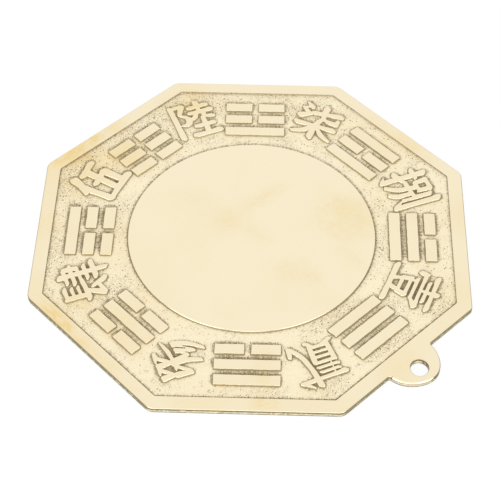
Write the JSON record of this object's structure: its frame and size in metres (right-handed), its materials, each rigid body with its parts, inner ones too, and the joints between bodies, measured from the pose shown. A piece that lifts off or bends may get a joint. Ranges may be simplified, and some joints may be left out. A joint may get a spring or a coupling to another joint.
{
  "type": "bagua mirror",
  "caption": "Flat octagonal brass bagua mirror with a round polished disc, relief trigrams and plain numerals, a raised rim and a hanging tab.",
  "frame": {"origin": "centre of the octagon on the flat back face", "axes": "+Z out of the mirror's face, +Y from the centre towards the hanging tab, +X to the right seen from the front"},
  "size_m": [0.12, 0.1284, 0.0018],
  "materials": {
    "plate_brass": "polished pale brass rim, back and edges, with a pitted matt field that holds brown-grey patina",
    "mirror_brass": "round mirror of polished pale brass with faint smudges and fine wiping marks",
    "line_brass": "polished tops of the relief lines, with dark patina at their feet",
    "numeral_brass": "softly rounded brush numerals, polished on top, with dark patina at their feet"
  },
  "bodies": {
    "root": {"plate": "plate_brass", "mirror_disc": "mirror_brass", "heaven_inner_line": "line_brass", "heaven_middle_line": "line_brass", "heaven_outer_line": "line_brass", "wind_inner_line_left": "line_brass", "wind_inner_line_right": "line_brass", "wind_middle_line": "line_brass", "wind_outer_line": "line_brass", "water_inner_line_left": "line_brass", "water_inner_line_right": "line_brass", "water_middle_line": "line_brass", "water_outer_line_left": "line_brass", "water_outer_line_right": "line_brass", "mountain_inner_line_left": "line_brass", "mountain_inner_line_right": "line_brass", "mountain_middle_line_left": "line_brass", "mountain_middle_line_right": "line_brass", "mountain_outer_line": "line_brass", "earth_inner_line_left": "line_brass", "earth_inner_line_right": "line_brass", "earth_middle_line_left": "line_brass", "earth_middle_line_right": "line_brass", "earth_outer_line_left": "line_brass", "earth_outer_line_right": "line_brass", "thunder_inner_line": "line_brass", "thunder_middle_line_left": "line_brass", "thunder_middle_line_right": "line_brass", "thunder_outer_line_left": "line_brass", "thunder_outer_line_right": "line_brass", "fire_inner_line": "line_brass", "fire_middle_line_left": "line_brass", "fire_middle_line_right": "line_brass", "fire_outer_line": "line_brass", "lake_inner_line": "line_brass", "lake_middle_line": "line_brass", "lake_outer_line_left": "line_brass", "lake_outer_line_right": "line_brass", "numeral_one": "numeral_brass", "numeral_two": "numeral_brass", "numeral_three": "numeral_brass", "numeral_four": "numeral_brass", "numeral_five": "numeral_brass", "numeral_six": "numeral_brass", "numeral_seven": "numeral_brass", "numeral_eight": "numeral_brass"}
  },
  "joints": []
}
